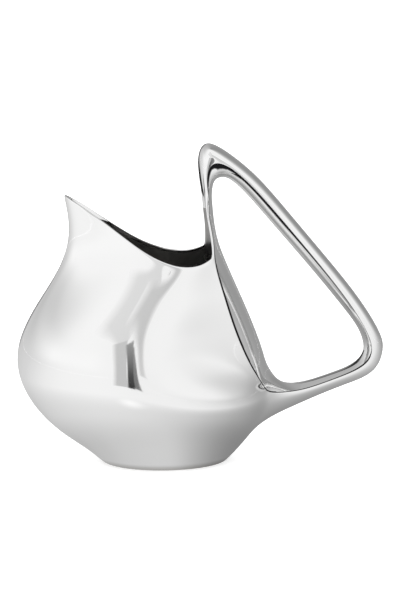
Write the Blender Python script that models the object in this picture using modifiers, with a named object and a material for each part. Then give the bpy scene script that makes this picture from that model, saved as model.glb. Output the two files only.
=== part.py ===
"""Silver cream jug: an oval raised body with a pinched spout and a hollow loop handle.

+X points to the handle, -X to the spout, +Z up, and the jug is symmetric about y = 0.
Outlines are in millimetres from the centre of the foot, and MM turns them into metres.
The parts hang from an empty that moves them so that the origin is half-way between spout and handle.
"""

from math import asin, atan2, cos, pi, radians, sin, sqrt

import bmesh
import bpy
import numpy as np

MM = 0.001
GAUGE = 0.9            # the body's sheet
HANDLE_GAUGE = 0.9     # the handle's sheet
GAP = 0.3              # left between neighbouring solids

# The body in side view: height, then x of the front and of the back.
FRONT = [(0, -20.6), (2, -23.0), (4.5, -25.8), (10.3, -34.2), (18, -42.6), (27.4, -48.4), (36.1, -50.1),
         (45, -48.3), (57, -41.7), (68, -34.9), (76, -32.2), (84, -32.1), (91.9, -33.8)]
BACK = [(0, 21.0), (2, 23.0), (4, 24.9), (8, 28.4), (13, 32.1), (19, 34.8), (26, 35.9), (33, 35.1),
        (41, 32.8), (52, 28.5), (62.2, 24.0), (69.1, 21.0), (75.7, 18.5), (80, 17.5), (86, 16.8)]
# Height, then the greatest half-width of the body and the x where it lies.
WIDE = [(0, 16.6), (2, 18.4), (4.5, 20.4), (10, 25.0), (18, 30.2), (26, 32.6), (33, 33.0), (41, 31.8),
        (50, 28.0), (60, 22.6), (68, 18.6), (76, 16.6), (92, 16.0)]
WIDEST = [(0, 0), (10, -4), (20, -9), (30, -13), (40, -14), (50, -12.5), (60, -7), (68, -0.5), (76, 4),
          (92, 6)]
# The crease beside the convex back band: height, x, half-width. It climbs to the edge of the strap.
CREASE = [(25, 34.0, 9.2), (29.2, 31.7, 11.5), (34.4, 28.4, 13.8), (39.2, 26.0, 14.9), (47.2, 22.7, 15.3),
          (56.2, 19.8, 14.9), (64.7, 17.3, 14.0), (72.1, 15.8, 12.8), (75.6, 15.9, 11.1),
          (79.2, 15.6, 8.7), (82.6, 15.1, 6.8), (86, 14.5, 5.8)]
CREASE_FOOT_HALF_WIDTH = 8.3    # of the same column of points at the foot, where it is smooth
TURN = [(20, 0), (40, 15), (72, 22)]         # height, then the angle turned at the crease, in degrees
PINCH = [(50, 0), (62, 0.2), (74, 0.75), (86, 1)]   # height, then how far the front is pinched to a spout
SPOUT_HALF_WIDTH = 5.3
SPOUT_NOSE = 6.0
# The rim in side view: x, height.
RIM = [(-34.5, 92.3), (-33.8, 91.9), (-28.9, 89.2), (-22.4, 84.8), (-15.4, 79.6), (-8.6, 74.9),
       (-2.2, 71.6), (4, 69.9), (8.5, 69.6), (12.5, 70.4), (16.2, 72.4)]
# The handle, from its root round to the strap: inner x, z, outer x, z, the crease's share of the way
# from inner to outer, its half-width, and how far the section has turned into the strap's.
LOOP = [(42.4, 25.9, 41.0, 16.5, 0.20, 5.6, 0), (48.7, 26.4, 50.0, 20.4, 0.23, 4.9, 0),
        (57.5, 29.1, 59.6, 24.2, 0.23, 4.7, 0), (64.2, 31.7, 66.4, 26.6, 0.22, 4.8, 0),
        (68.0, 35.4, 72.7, 30.4, 0.30, 5.0, 0), (68.3, 39.8, 75.2, 37.0, 0.35, 5.1, 0),
        (66.2, 45.0, 74.0, 43.2, 0.33, 5.1, 0), (61.4, 51.7, 66.7, 55.2, 0.42, 5.1, 0),
        (50.0, 65.8, 55.1, 69.9, 0.49, 5.1, 0), (37.6, 80.4, 43.0, 84.5, 0.51, 5.2, 0),
        (28.3, 91.3, 34.3, 94.8, 0.49, 5.4, 0), (23.6, 95.8, 27.4, 101.5, 0.50, 5.6, 0),
        (20.5, 97.4, 20.5, 106.8, 0.53, 5.8, 0), (17.6, 96.6, 14.5, 109.3, 0.50, 6.0, 0.05),
        (16.6, 94.0, 11.7, 104.9, 0.48, 6.0, 0.25), (16.4, 90.9, 12.0, 98.0, 0.48, 5.8, 0.55),
        (16.6, 88.0, 13.0, 92.5, 0.46, 5.6, 0.85)]
STATIONS_PER_ROW = 2
CHEEK_BULGE = 0.05
STRAP_HOLLOW = 1.3     # how deep the strap's front face is dished

FRONT_COLUMNS, FLANK_COLUMNS, BAND_COLUMNS = 9, 7, 4
CREASE_COLUMN = FRONT_COLUMNS + FLANK_COLUMNS
LAST_COLUMN = CREASE_COLUMN + BAND_COLUMNS
RIM_STEPS = 3
LOW_ROWS = [0.7, 2.6, 5.4, 8.4, 11.5, 16.0, 20.5, 25.0, 29.5, 34.0, 39.0, 44.0]
ROOT_BOTTOM, ROOT_TOP = 4, 7      # rows that the handle's root spans
UPPER_ROWS = 6
STRAP_ROWS = [75.6, 79.2, 82.6, 86.0]
RIM_ROW = len(LOW_ROWS) + UPPER_ROWS - 1
STRAP_TOP = RIM_ROW + len(STRAP_ROWS)
# Height of a row at the crease, then how much higher it runs at the middle of the back band.
LIFT = [(8.4, 0), (11.5, -0.7), (16, 1.0), (20.5, 4.0), (25, 8.5), (34, 5.5), (44, 2.5), (60, 0)]
FOOT_FLAT, FOOT_OPENING = 0.955, 0.80       # shares of the foot's outline
FLANGE = 0.9
SEAM_ROW = 15          # of LOOP, where the handle's sheets end and the strap's solid tongue begins
FLARE_RINGS = 3        # from the body to the handle's first station
ROOT_BEND = 0.55       # how far back towards the body the handle runs straight before it flares
PLATE_HALF_LENGTH, PLATE_HALF_WIDTH, PLATE_THICKNESS = 20.0, 15.7, 1.0
SILVER = (0.90, 0.89, 0.87, 1)


def spline(table, at):
    """The natural cubic spline through a table's rows, read at one value of its first column."""
    at_rows = np.array([row[0] for row in table], float)
    values = np.array([row[1:] for row in table], float)
    count, steps = len(at_rows), np.diff(at_rows)
    matrix, right = np.zeros((count, count)), np.zeros_like(values)
    matrix[0, 0] = matrix[-1, -1] = 1
    for i in range(1, count - 1):
        matrix[i, i - 1 : i + 2] = steps[i - 1], 2 * (steps[i - 1] + steps[i]), steps[i]
        slopes = (values[i + 1] - values[i]) / steps[i], (values[i] - values[i - 1]) / steps[i - 1]
        right[i] = 6 * (slopes[0] - slopes[1])
    bends = np.linalg.solve(matrix, right)
    at = min(max(at, at_rows[0]), at_rows[-1])
    i = int(np.clip(np.searchsorted(at_rows, at) - 1, 0, count - 2))
    step = steps[i]
    a, b = (at_rows[i + 1] - at) / step, (at - at_rows[i]) / step
    found = a * values[i] + b * values[i + 1]
    found = found + ((a**3 - a) * bends[i] + (b**3 - b) * bends[i + 1]) * step * step / 6
    return found if len(found) > 1 else float(found[0])


def eased(table, at):
    """A value that eases from one row of a table to the next, and stays within them."""
    if at <= table[0][0]:
        return table[0][1]
    for (low, before), (high, after) in zip(table, table[1:]):
        if at < high:
            share = (at - low) / (high - low)
            return before + (after - before) * share * share * (3 - 2 * share)
    return table[-1][1]


def crease(z):
    """x and half-width of the crease, and below it of the smooth column that carries on to the foot."""
    lowest = CREASE[0]
    if z >= lowest[0]:
        return spline(CREASE, z)
    share = (lowest[0] - z) / lowest[0]
    half_width = lowest[2] + (CREASE_FOOT_HALF_WIDTH - lowest[2]) * share

    def on_oval(height, w):
        middle = spline(WIDEST, height)
        return middle + (spline(BACK, height) - middle) * sqrt(1 - (w / spline(WIDE, height)) ** 2)

    miss = lowest[1] - on_oval(lowest[0], lowest[2])
    return np.array([on_oval(z, half_width) + miss * max(0, 1 - 2.5 * share) ** 2, half_width])


def front_point(z, share):
    """From the middle of the front, round to the widest place: an oval, pinched to a spout higher up."""
    middle, wide = spline(WIDEST, z), spline(WIDE, z)
    length = middle - spline(FRONT, z)
    x = middle - length * cos(share * pi / 2)
    oval = wide * sin(share * pi / 2)
    along = x - spline(FRONT, z)
    nose = SPOUT_HALF_WIDTH * sqrt(max(0, 1 - (1 - min(along / SPOUT_NOSE, 1)) ** 2))
    t = min(along / length, 1)
    channel = nose + (wide - SPOUT_HALF_WIDTH) * t**3 * (10 - 15 * t + 6 * t * t)
    pinch = eased(PINCH, z)
    return np.array([x, (1 - pinch) * oval + pinch * channel])


def bezier_width(points, x):
    """Half-width at x on a flat cubic curve whose x only rises."""
    low, high = 0.0, 1.0
    for _ in range(40):
        t = (low + high) / 2
        weights = np.array([(1 - t) ** 3, 3 * t * (1 - t) ** 2, 3 * t * t * (1 - t), t**3])
        at = weights @ points
        low, high = (t, high) if at[0] < x else (low, t)
    return at[1]


def flank_point(z, share):
    """From the widest place back to the crease, which the flank meets at the angle of TURN."""
    middle, wide = spline(WIDEST, z), spline(WIDE, z)
    crease_x, crease_w = crease(z)
    band_angle = 2 * atan2(spline(BACK, z) - crease_x, crease_w)
    slope = pi / 2 - band_angle - radians(eased(TURN, z))
    most = asin(crease_w / wide)
    x = middle + (crease_x - middle) * sin(share * radians(68)) / sin(radians(68))
    half_length = (crease_x - middle) / cos(most)
    oval = wide * sqrt(1 - ((x - middle) / half_length) ** 2)
    drop = wide - crease_w
    meet = crease_x - drop / np.tan(slope)
    front_curvature = wide / (middle - spline(FRONT, z)) ** 2
    reach = min(sqrt(0.28 * drop / front_curvature), 0.93 * max(meet - middle, 0.3 * (crease_x - middle)))
    back_reach = 0.58 * drop / sin(slope)
    curve = np.array([(middle, wide), (middle + reach, wide),
                      (crease_x - back_reach * cos(slope), crease_w + back_reach * sin(slope)),
                      (crease_x, crease_w)])
    creased = eased([(19, 0), (36, 1)], z)
    return np.array([x, creased * bezier_width(curve, x) + (1 - creased) * oval])


def band_point(z, share):
    """From the crease to the middle of the back, on an arc."""
    back = spline(BACK, z)
    crease_x, crease_w = crease(z)
    angle = 2 * atan2(back - crease_x, crease_w)
    radius = crease_w / sin(angle)
    angle *= 1 - share
    return np.array([back - radius * (1 - cos(angle)), radius * sin(angle)])


def section(z, column):
    """x and half-width of one column of points at a height."""
    if column <= FRONT_COLUMNS:
        return front_point(z, column / FRONT_COLUMNS)
    if column <= CREASE_COLUMN:
        return flank_point(z, (column - FRONT_COLUMNS) / FLANK_COLUMNS)
    return band_point(z, (column - CREASE_COLUMN) / BAND_COLUMNS)


def rim_height(column):
    low, high = 40.0, 96.0
    for _ in range(40):
        z = (low + high) / 2
        low, high = (low, z) if z > spline(RIM, section(z, column)[0]) else (z, high)
    return low


def unit(vector):
    return vector / np.linalg.norm(vector)


def beside(grid, column, row, step):
    """The next point along a row, on the other side of y = 0 past the first and last columns."""
    if 0 <= column + step <= LAST_COLUMN:
        return grid.get((column + step, row), grid[column, row])
    return grid[column - step, row] * np.array([1, -1, 1])


def outward_normal(point, across, up):
    normal = unit(np.cross(across, up))
    return normal if normal @ (point - np.array([-5, 0, point[2]])) > 0 else -normal


def outer_grid():
    """The body's outer points as {(column, row): point}. Rows -2 and -1 are the foot's flat ring."""
    grid = {}
    crease_top = rim_height(CREASE_COLUMN)
    for column in range(LAST_COLUMN + 1):
        in_band = max(0, column - CREASE_COLUMN) / BAND_COLUMNS
        top = rim_height(column) if column <= CREASE_COLUMN else crease_top
        heights = list(LOW_ROWS)
        for i in range(1, UPPER_ROWS + 1):
            heights.append(LOW_ROWS[-1] + (top - LOW_ROWS[-1]) * i / UPPER_ROWS)
        if column >= CREASE_COLUMN:
            heights += STRAP_ROWS
        for row, z in enumerate(heights):
            if in_band:
                lift = float(np.interp(z, [a for a, _ in LIFT], [b for _, b in LIFT]))
                z = z + lift * (1 - (1 - in_band) ** 2)
            x, w = section(z, column)
            grid[column, row] = np.array([x, w if column not in (0, LAST_COLUMN) else 0.0, z])
        foot = grid[column, 0]
        for row, share in ((-1, FOOT_FLAT), (-2, FOOT_OPENING)):
            grid[column, row] = np.array([foot[0] * share, foot[1] * share, 0.0])
    return grid


def inner_grid(outer):
    """The body's inner points, a sheet's thickness inside the outer ones."""
    inner = {}
    for (column, row), point in outer.items():
        if row < 0:
            share = FOOT_OPENING if row == -2 else 0.92
            foot = outer[column, 0]
            inner[column, row] = np.array([foot[0] * share, foot[1] * share, FLANGE])
            continue
        up = outer.get((column, row + 1), point) - outer[column, max(row - 1, 0)]
        across = beside(outer, column, row, 1) - beside(outer, column, row, -1)
        moved = point - outward_normal(point, across, up) * GAUGE
        if column in (0, LAST_COLUMN):
            moved[1] = 0.0
        inner[column, row] = moved
    return inner


def rim_points(outer, inner):
    """Two points that round the rim off, for each place along it, from the spout's tip up the strap's edge."""
    path = [(column, RIM_ROW) for column in range(CREASE_COLUMN + 1)]
    path += [(CREASE_COLUMN, row) for row in range(RIM_ROW + 1, STRAP_TOP + 1)]
    found = {}
    for column, row in path:
        out, into = outer[column, row], inner[column, row]
        away = np.zeros(3)
        if row == RIM_ROW:
            away = away + unit(out - outer[column, row - 1])
        if column == CREASE_COLUMN:
            away = away + unit(out - outer[column + 1, row])
        away = unit(away) * 0.3
        found[column, row] = [out * 0.75 + into * 0.25 + away, out * 0.25 + into * 0.75 + away]
        if column == 0:
            for point in found[column, row]:
                point[1] = 0.0
    return path, found


def handle_section(station):
    """Half of the handle's section at one place along LOOP: the band from its middle, then the cheek."""
    table = [(i, *row) for i, row in enumerate(LOOP)]
    in_x, in_z, out_x, out_z, share, half_width, strap = spline(table, station)
    strap = min(max(strap, 0), 1)
    inner, outer = np.array([in_x, in_z]), np.array([out_x, out_z])
    depth = np.linalg.norm(outer - inner)
    outward = (outer - inner) / depth
    crease_depth = depth * share

    def place(along, w):
        return np.array([in_x + outward[0] * along, w, in_z + outward[1] * along])

    points = []
    angle = 2 * atan2(crease_depth, half_width)
    radius = half_width / sin(angle)
    for i in range(BAND_COLUMNS + 1):
        turn = angle * i / BAND_COLUMNS
        points.append(place(radius * (1 - cos(turn)), radius * sin(turn)))
    steps = RIM_STEPS + BAND_COLUMNS
    cheek_depth = depth - crease_depth
    front_width = half_width * (0.4 + 0.5 * strap)
    for i in range(1, steps + 1):
        turn = pi / 2 * i / steps
        round_w = half_width * cos(turn) * (1 + CHEEK_BULGE * sin(2 * turn))
        rounded = np.array([crease_depth + cheek_depth * sin(turn), round_w])
        if i <= RIM_STEPS:
            side = i / RIM_STEPS
            edge_w = front_width + (half_width - front_width) * sqrt(1 - side * side)
            edged = np.array([crease_depth + cheek_depth * side, edge_w])
        else:
            w = front_width * (1 - (i - RIM_STEPS) / BAND_COLUMNS)
            dish = STRAP_HOLLOW * strap * (1 - (w / front_width) ** 2)
            edged = np.array([depth - dish, w])
        along, w = (1 - strap) * rounded + strap * edged
        points.append(place(along, w))
    points[-1][1] = 0.0
    return points


def root_points(outer):
    """The body's points that the handle's root stands on, in the order of handle_section."""
    points = [outer[column, ROOT_TOP] for column in range(LAST_COLUMN, CREASE_COLUMN - 1, -1)]
    points += [outer[CREASE_COLUMN, row] for row in range(ROOT_TOP - 1, ROOT_BOTTOM - 1, -1)]
    points += [outer[column, ROOT_BOTTOM] for column in range(CREASE_COLUMN + 1, LAST_COLUMN + 1)]
    return points


def strap_points(outer, inner, rim):
    points = [outer[column, STRAP_TOP] for column in range(LAST_COLUMN, CREASE_COLUMN - 1, -1)]
    points += rim[CREASE_COLUMN, STRAP_TOP]
    points += [inner[column, STRAP_TOP] for column in range(CREASE_COLUMN, LAST_COLUMN + 1)]
    return points


def section_frame(station):
    """The handle's inner point, its outward direction in the xz plane, and the section as (along, w) pairs."""
    points = handle_section(station)
    origin = np.array([points[0][0], points[0][2]])
    outward = unit(np.array([points[-1][0], points[-1][2]]) - origin)
    flat = [np.array([(p[0] - origin[0]) * outward[0] + (p[2] - origin[1]) * outward[1], p[1]]) for p in points]
    return origin, outward, flat


def inset(flat, sign):
    """A polyline's points moved by the sheet's thickness to one side of it."""
    moved = []
    for i, point in enumerate(flat):
        along = unit(flat[min(i + 1, len(flat) - 1)] - flat[max(i - 1, 0)])
        moved.append(point + sign * HANDLE_GAUGE * np.array([-along[1], along[0]]))
    return moved


def sheet_sections(station):
    """The closed outlines of the band and of the cheek at one station, half a gap clear of each other."""
    origin, outward, flat = section_frame(station)
    corner = flat[BAND_COLUMNS]
    to_band = unit(flat[BAND_COLUMNS - 1] - corner)
    to_cheek = unit(flat[BAND_COLUMNS + 1] - corner)
    bisector = unit(to_band + to_cheek)
    half_angle = np.arccos(np.clip(to_band @ to_cheek, -1, 1)) / 2
    mitre = corner + bisector * HANDLE_GAUGE / sin(half_angle)
    aside = unit(to_cheek - to_band) * GAP / 2
    band = flat[: BAND_COLUMNS + 1]
    band_inner = inset(band, -1)
    band = band[:-1] + [corner - aside]
    band_inner = band_inner[:-1] + [mitre - aside]
    cheek = flat[BAND_COLUMNS:]
    cheek_inner = inset(cheek, -1)
    clear = np.array([cheek[-1][0], GAP / 2])
    cheek = [corner + aside] + cheek[1:-1] + [clear]
    cheek_inner = [mitre + aside] + cheek_inner[1:-1] + [clear - np.array([HANDLE_GAUGE, 0])]
    for pair in (*cheek_inner, *cheek[1:]):
        pair[1] = max(pair[1], GAP / 2)

    def placed(pairs, side=1):
        return [np.array([origin[0] + outward[0] * a, side * w, origin[1] + outward[1] * a]) for a, w in pairs]

    band_ring = placed(band[::-1], -1) + placed(band[1:])
    band_ring += placed(band_inner[::-1]) + placed(band_inner[1:], -1)
    return band_ring, placed(cheek) + placed(cheek_inner[::-1])


def flare_rings(outer):
    """Half outlines of the handle's root: they leave the body and run into the first station on a curve."""
    start, end = root_points(outer), handle_section(0)
    ahead = handle_section(0.5)
    rings = []
    for i in range(FLARE_RINGS):
        t = i / FLARE_RINGS
        ring = []
        for low, high, next_one in zip(start, end, ahead):
            slope = (next_one - high) / (next_one[0] - high[0])
            bend = high - slope * (high[0] - low[0]) * ROOT_BEND
            ring.append((1 - t) ** 2 * low + 2 * t * (1 - t) * bend + t * t * high)
        rings.append(ring)
    return rings


def ring_sheets(points):
    """The outlines of the band and of the cheek on one ring of the root."""
    centre = np.array([points[BAND_COLUMNS][0], 0.0, (points[0][2] + points[-1][2]) / 2])
    inner = [p + unit(centre - p) * HANDLE_GAUGE for p in points]
    mirror = np.array([1, -1, 1])
    corner, corner_in = points[BAND_COLUMNS], inner[BAND_COLUMNS]
    aside = np.array([0, 0, -GAP / 2])
    band = points[:BAND_COLUMNS] + [corner - aside]
    band_in = inner[:BAND_COLUMNS] + [corner_in - aside]
    cheek = [corner + aside] + points[BAND_COLUMNS + 1 :]
    cheek_in = [corner_in + aside] + inner[BAND_COLUMNS + 1 :]
    for line in (cheek, cheek_in):
        line[-1] = np.array([line[-1][0], GAP / 2, line[-1][2]])
    band_ring = [p * mirror for p in band[::-1]] + band[1:] + band_in[::-1] + [p * mirror for p in band_in[1:]]
    return band_ring, cheek + cheek_in[::-1]


def sheet_stations():
    return [i / STATIONS_PER_ROW for i in range(SEAM_ROW * STATIONS_PER_ROW + 1)]


class Cage:
    """Points and faces for one mesh; a point that is used twice is stored once."""

    def __init__(self):
        self.points, self.index, self.faces = [], {}, []

    def add(self, point):
        key = tuple(np.round(point, 5))
        if key not in self.index:
            self.index[key] = len(self.points)
            self.points.append(key)
        return self.index[key]

    def face(self, *corners):
        found = []
        for corner in corners:
            at = self.add(corner)
            if at not in found:
                found.append(at)
        if len(found) > 2:
            self.faces.append(found)

    def strip(self, first, second):
        for i in range(len(first) - 1):
            self.face(first[i], first[i + 1], second[i + 1], second[i])

    def mesh(self, name, smooth=True):
        mesh = bpy.data.meshes.new(name)
        mesh.from_pydata([[c * MM for c in p] for p in self.points], [], self.faces)
        work = bmesh.new()
        work.from_mesh(mesh)
        bmesh.ops.recalc_face_normals(work, faces=work.faces)
        work.to_mesh(mesh)
        work.free()
        if smooth:
            mesh.shade_smooth()
            mesh.set_sharp_from_angle(angle=radians(40))
        return mesh


def silver(name, roughness):
    material = bpy.data.materials.new(name)
    material.use_nodes = True
    shader = material.node_tree.nodes["Principled BSDF"]
    shader.inputs["Base Color"].default_value = SILVER
    shader.inputs["Metallic"].default_value = 1
    shader.inputs["Roughness"].default_value = roughness
    return material


def place(name, mesh, collection, material=None):
    thing = bpy.data.objects.new(name, mesh)
    collection.objects.link(thing)
    if material:
        mesh.materials.append(material)
    return thing


def mirrored(thing):
    modifier = thing.modifiers.new("other_side", "MIRROR")
    modifier.use_axis = (False, True, False)
    modifier.merge_threshold = 0.00001


def body_shell(outer, inner, collection):
    """The vessel's wall, the turned-in foot, and the strap up to its tongue inside the handle."""
    cage = Cage()
    for grid in (outer, inner):
        for column in range(LAST_COLUMN):
            top = STRAP_TOP if column >= CREASE_COLUMN else RIM_ROW
            for row in range(-2, top):
                corners = [(column, row), (column + 1, row), (column + 1, row + 1), (column, row + 1)]
                cage.face(*(grid[at] for at in corners))
    for column in range(LAST_COLUMN):
        at, beside = (column, -2), (column + 1, -2)
        cage.face(outer[at], outer[beside], inner[beside], inner[at])
    path, rounded = rim_points(outer, inner)
    across = [[outer[at], *rounded[at], inner[at]] for at in path]
    for first, second in zip(across, across[1:]):
        cage.strip(first, second)
    rows = len(LOOP) - 1
    tongue = [SEAM_ROW + 0.1]
    tongue += [SEAM_ROW + i / STATIONS_PER_ROW for i in range(1, STATIONS_PER_ROW * (rows - SEAM_ROW) + 1)]
    sections = [handle_section(station) for station in tongue]
    sections.append(strap_points(outer, inner, rounded))
    for first, second in zip(sections, sections[1:]):
        cage.strip(first, second)
    cap = sections[0]
    cheek = cap[BAND_COLUMNS:]
    for i in range(BAND_COLUMNS):
        cage.face(cap[i], cap[i + 1], cheek[len(cheek) - 2 - i], cheek[len(cheek) - 1 - i])
    cage.face(cap[BAND_COLUMNS], cheek[1], cheek[2], cheek[3])
    shell = place("body_shell", open_half(cage, "body_shell"), collection, silver("polished_silver", 0.08))
    mirrored(shell)
    return shell


def open_half(cage, name):
    """The mesh of a half that is open at y = 0, with the faces all turned the way the closed body needs."""
    mesh = cage.mesh(name, smooth=False)
    work = bmesh.new()
    work.from_mesh(mesh)
    lowest = min(work.faces, key=lambda face: face.calc_center_median().z)
    if lowest.normal.z > 0:
        bmesh.ops.reverse_faces(work, faces=work.faces)
    work.to_mesh(mesh)
    work.free()
    mesh.shade_smooth()
    return mesh


def lofted(name, rings, side, collection, material):
    """A closed solid through rings of the same number of points; side -1 makes the mirror image."""
    cage = Cage()
    turn = np.array([1, side, 1])
    rings = [[p * turn for p in ring] for ring in rings]
    for first, second in zip(rings, rings[1:]):
        cage.strip(first + first[:1], second + second[:1])
    half = len(rings[0]) // 2
    for ring in (rings[0], rings[-1]):
        for i in range(half - 1):
            cage.face(ring[i], ring[i + 1], ring[-2 - i], ring[-1 - i])
    return place(name, cage.mesh(name), collection, material)


def root_cutter(outer, collection):
    """The body's form, a gap larger, that trims the handle's root."""
    grown = {}
    for (column, row), point in outer.items():
        if 0 < row <= ROOT_TOP + 5:
            up = outer[column, row + 1] - outer[column, row - 1]
            across = beside(outer, column, row, 1) - beside(outer, column, row, -1)
            grown[column, row] = point + outward_normal(point, across, up) * GAP
            if column in (0, LAST_COLUMN):
                grown[column, row][1] = 0.0
    cage = Cage()
    rows = range(1, ROOT_TOP + 6)
    mirror = np.array([1, -1, 1])
    around = [[grown[c, row] for c in range(LAST_COLUMN + 1)] for row in rows]
    around = [ring + [p * mirror for p in ring[-2:0:-1]] for ring in around]
    for first, second in zip(around, around[1:]):
        cage.strip(first + first[:1], second + second[:1])
    cage.face(*around[0])
    cage.face(*around[-1])
    cutter = place("root_cutter", cage.mesh("root_cutter"), collection)
    cutter.hide_render = True
    cutter.display_type = "WIRE"
    return cutter


def trim(thing, cutter):
    modifier = thing.modifiers.new("root", "BOOLEAN")
    modifier.object = cutter
    modifier.operation = "DIFFERENCE"


def base_plate(collection):
    """The oval disc that lies on the foot's turned-in edge."""
    bpy.ops.mesh.primitive_cylinder_add(vertices=48, radius=1, depth=PLATE_THICKNESS * MM)
    plate = bpy.context.active_object
    plate.name = plate.data.name = "base_plate"
    plate.scale = (PLATE_HALF_LENGTH * MM, PLATE_HALF_WIDTH * MM, 1)
    bpy.ops.object.transform_apply(location=False, rotation=False, scale=True)
    plate.location.z = (FLANGE + GAP + PLATE_THICKNESS / 2) * MM
    for holder in plate.users_collection:
        holder.objects.unlink(plate)
    collection.objects.link(plate)
    bevel = plate.modifiers.new("edge", "BEVEL")
    bevel.width = 0.25 * MM
    bevel.segments = 2
    plate.data.shade_smooth()
    plate.data.set_sharp_from_angle(angle=radians(40))
    plate.data.materials.append(silver("base_silver", 0.2))


def middle_of_length(outer):
    spout_side = min(point[0] for point in outer.values())
    handle_side = max(handle_section(station)[-1][0] for station in sheet_stations())
    return (spout_side + handle_side) / 2


def main():
    for thing in list(bpy.data.objects):
        bpy.data.objects.remove(thing)
    parts = bpy.data.collections.new("cream_jug")
    cutters = bpy.data.collections.new("cutters")
    for collection in (parts, cutters):
        bpy.context.scene.collection.children.link(collection)
    outer = outer_grid()
    inner = inner_grid(outer)
    jug = bpy.data.objects.new("jug", None)
    jug.location.x = -middle_of_length(outer) * MM
    parts.objects.link(jug)
    body_shell(outer, inner, parts)
    base_plate(parts)
    sections = [ring_sheets(ring) for ring in flare_rings(outer)]
    sections += [sheet_sections(station) for station in sheet_stations()]
    handle_silver = silver("handle_silver", 0.08)
    band = lofted("handle_inner_band", [band for band, _ in sections], 1, parts, handle_silver)
    cheeks = [cheek for _, cheek in sections]
    left = lofted("handle_left_cheek", cheeks, -1, parts, handle_silver)
    right = lofted("handle_right_cheek", cheeks, 1, parts, handle_silver)
    cutter = root_cutter(outer, cutters)
    for thing in (band, left, right):
        trim(thing, cutter)
    for thing in [*parts.objects, cutter]:
        if thing != jug:
            thing.parent = jug


main()
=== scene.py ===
"""Looks of the silver cream jug: its skin as one smooth surface, cut into the pieces it is soldered from.

Outlines are in millimetres from the centre of the foot, and repeat those that the solids are made from.
"""

from math import asin, atan2, cos, pi, radians, sin, sqrt

import bmesh
import bpy
import numpy as np
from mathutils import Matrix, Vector
from mathutils.kdtree import KDTree


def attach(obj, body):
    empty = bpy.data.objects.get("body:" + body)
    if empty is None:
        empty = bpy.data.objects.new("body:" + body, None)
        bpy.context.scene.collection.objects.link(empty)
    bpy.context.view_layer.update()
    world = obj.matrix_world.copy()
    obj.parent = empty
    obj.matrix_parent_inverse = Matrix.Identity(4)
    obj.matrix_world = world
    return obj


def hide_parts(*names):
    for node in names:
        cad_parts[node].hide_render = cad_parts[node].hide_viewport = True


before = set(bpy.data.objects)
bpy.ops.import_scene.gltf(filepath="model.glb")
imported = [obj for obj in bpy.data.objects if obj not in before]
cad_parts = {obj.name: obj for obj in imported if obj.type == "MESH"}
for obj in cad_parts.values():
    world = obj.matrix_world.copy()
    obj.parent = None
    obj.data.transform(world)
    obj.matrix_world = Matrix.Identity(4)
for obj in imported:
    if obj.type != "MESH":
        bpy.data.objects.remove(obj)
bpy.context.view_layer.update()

MM = 0.001
GAUGE = 0.9            # the body's sheet
HANDLE_GAUGE = 0.8     # the handle's sheet

# The body in side view: height, then x of the front and of the back.
FRONT = [(0, -20.6), (2, -23.0), (4.5, -25.8), (10.3, -34.2), (18, -42.6), (27.4, -48.4), (36.1, -50.1),
         (45, -48.3), (57, -41.7), (68, -34.9), (76, -32.2), (84, -32.1), (91.9, -33.8)]
BACK = [(0, 21.0), (2, 23.0), (4, 24.9), (8, 28.4), (13, 32.1), (19, 34.8), (26, 35.9), (33, 35.1),
        (41, 32.8), (52, 28.5), (62.2, 24.0), (69.1, 21.0), (75.7, 18.5), (80, 17.5), (86, 16.8)]
# Height, then the greatest half-width of the body and the x where it lies.
WIDE = [(0, 16.6), (2, 18.4), (4.5, 20.4), (10, 25.0), (18, 30.2), (26, 32.6), (33, 33.0), (41, 31.8),
        (50, 28.0), (60, 22.6), (68, 18.6), (76, 16.6), (92, 16.0)]
WIDEST = [(0, 0), (10, -4), (20, -9), (30, -13), (40, -14), (50, -12.5), (60, -7), (68, -0.5), (76, 4),
          (92, 6)]
# The crease beside the convex back band: height, x, half-width. It climbs to the edge of the strap.
CREASE = [(25, 34.0, 9.2), (29.2, 31.7, 11.5), (34.4, 28.4, 13.8), (39.2, 26.0, 14.9), (47.2, 22.7, 15.3),
          (56.2, 19.8, 14.9), (64.7, 17.3, 14.0), (72.1, 15.8, 12.8), (75.6, 15.9, 11.1),
          (79.2, 15.6, 8.7), (82.6, 15.1, 6.8), (86, 14.5, 5.8)]
CREASE_FOOT_HALF_WIDTH = 8.3    # of the same column of points at the foot, where it is smooth
TURN = [(20, 0), (40, 15), (72, 22)]         # height, then the angle turned at the crease, in degrees
PINCH = [(50, 0), (62, 0.2), (74, 0.75), (86, 1)]   # height, then how far the front is pinched to a spout
SPOUT_HALF_WIDTH = 5.3
SPOUT_NOSE = 6.0
# The rim in side view: x, height.
RIM = [(-34.5, 92.3), (-33.8, 91.9), (-28.9, 89.2), (-22.4, 84.8), (-15.4, 79.6), (-8.6, 74.9),
       (-2.2, 71.6), (4, 69.9), (8.5, 69.6), (12.5, 70.4), (16.2, 72.4)]
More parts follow.
